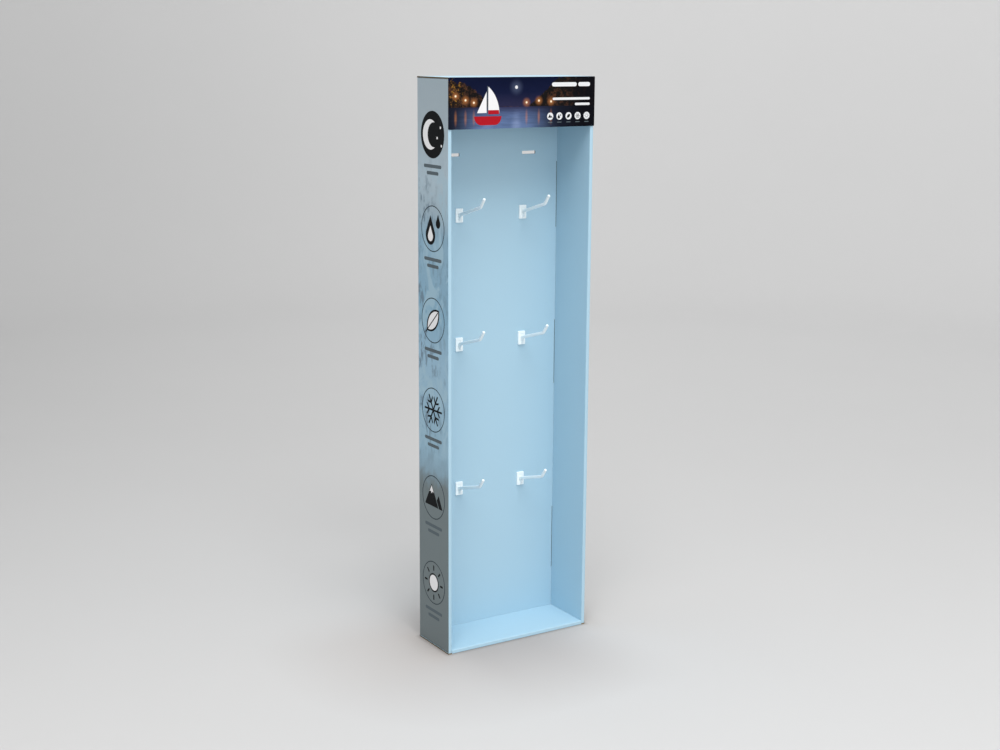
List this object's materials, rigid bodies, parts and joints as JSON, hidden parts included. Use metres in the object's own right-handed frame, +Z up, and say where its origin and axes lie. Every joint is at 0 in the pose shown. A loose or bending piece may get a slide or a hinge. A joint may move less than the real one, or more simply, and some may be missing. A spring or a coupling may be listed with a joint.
{
  "type": "cardboard display stand",
  "caption": "Tall narrow open-front display tray folded from corrugated board, with double side walls, a printed header card, hang slots and push-in plastic hooks.",
  "frame": {"origin": "centre of the underside of the tray", "axes": "+X to the viewer's right, +Y to the back, +Z up; the open front faces -Y"},
  "size_m": [0.3556, 0.1323, 1.2192],
  "materials": {
    "tray_board": "printed light blue, satin",
    "header_board": "printed dark, satin",
    "hook_plastic": "moulded white, semi-gloss"
  },
  "bodies": {
    "root": {"tray": "tray_board", "header_card": "header_board", "hook_bottom_left": "hook_plastic", "hook_bottom_right": "hook_plastic", "hook_middle_left": "hook_plastic", "hook_middle_right": "hook_plastic", "hook_top_left": "hook_plastic", "hook_top_right": "hook_plastic"}
  },
  "joints": []
}
